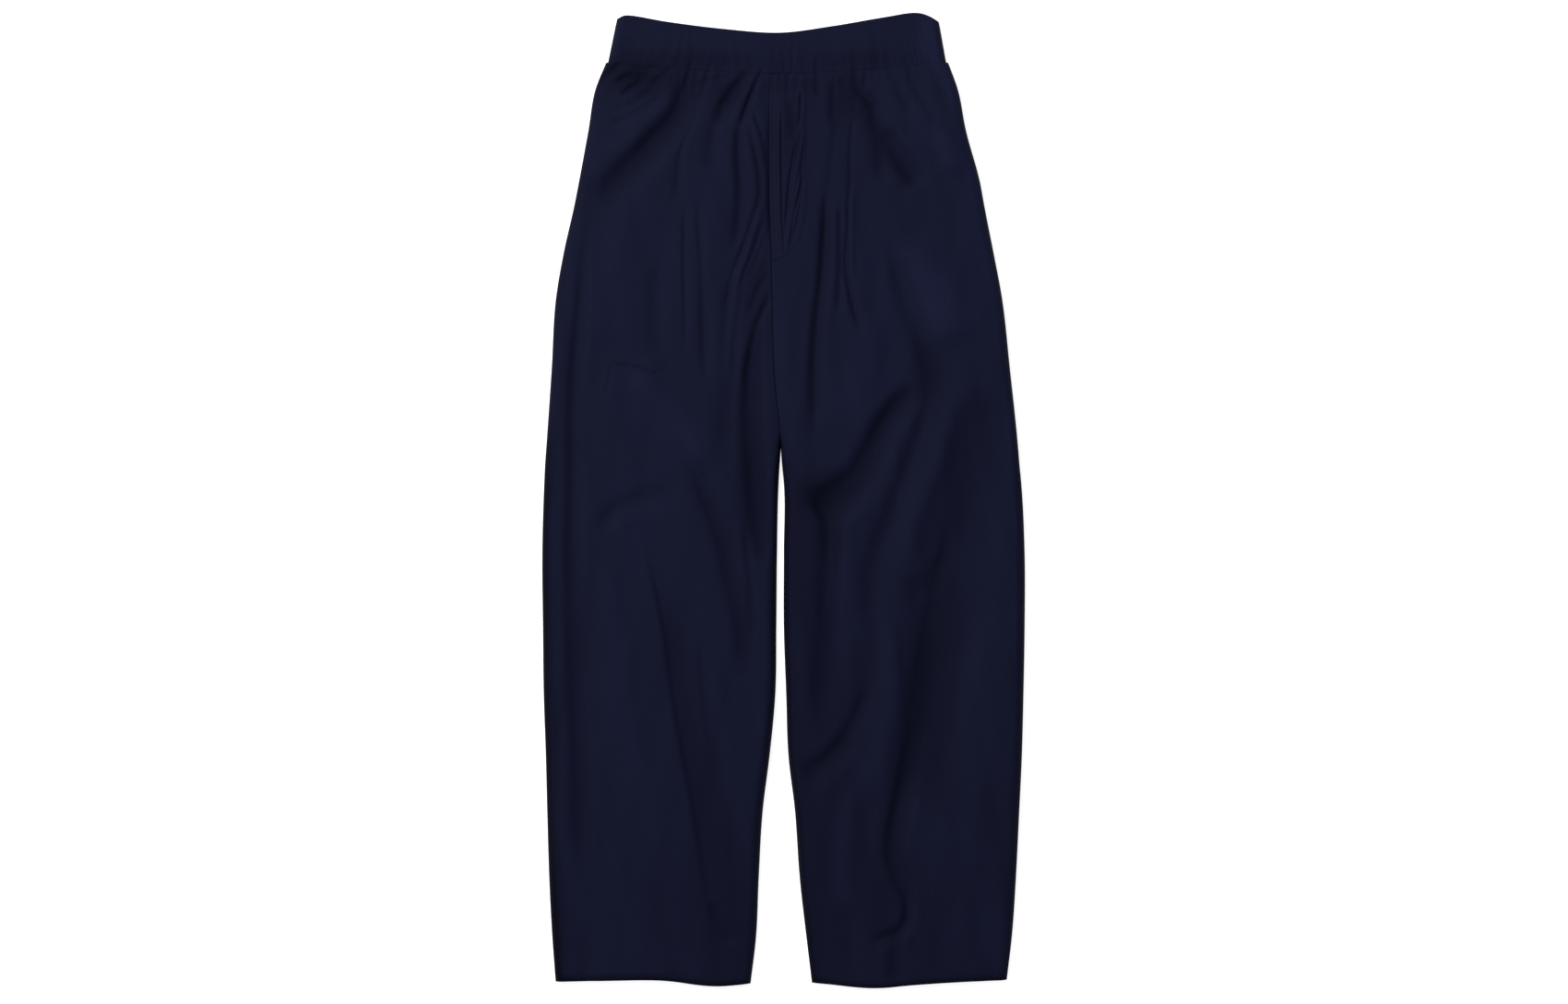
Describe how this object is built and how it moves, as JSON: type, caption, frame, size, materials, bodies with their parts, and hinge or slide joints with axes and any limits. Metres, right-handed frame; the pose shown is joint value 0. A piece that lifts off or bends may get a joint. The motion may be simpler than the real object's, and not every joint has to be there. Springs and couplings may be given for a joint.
{
  "type": "trousers",
  "caption": "Wide pull-on trousers laid flat: gathered elastic waistband, mock fly, side-seam pockets and plain turned hems, hollow, with the waist and both hems open.",
  "frame": {"origin": "middle of the trousers' box, on the surface that the back panels lie on", "axes": "+Y from the hems to the waist, +X towards the wearer's left, +Z out of the front"},
  "size_m": [0.5003, 1.008, 0.02],
  "materials": {
    "cloth": "smooth matt dark navy cloth",
    "waistband_cloth": "gathered matt dark navy cloth over elastic"
  },
  "bodies": {
    "root": {"front_right": "cloth", "front_left": "cloth", "back_right": "cloth", "back_left": "cloth", "waistband_front": "waistband_cloth", "waistband_back": "waistband_cloth", "fly": "cloth"}
  },
  "joints": []
}
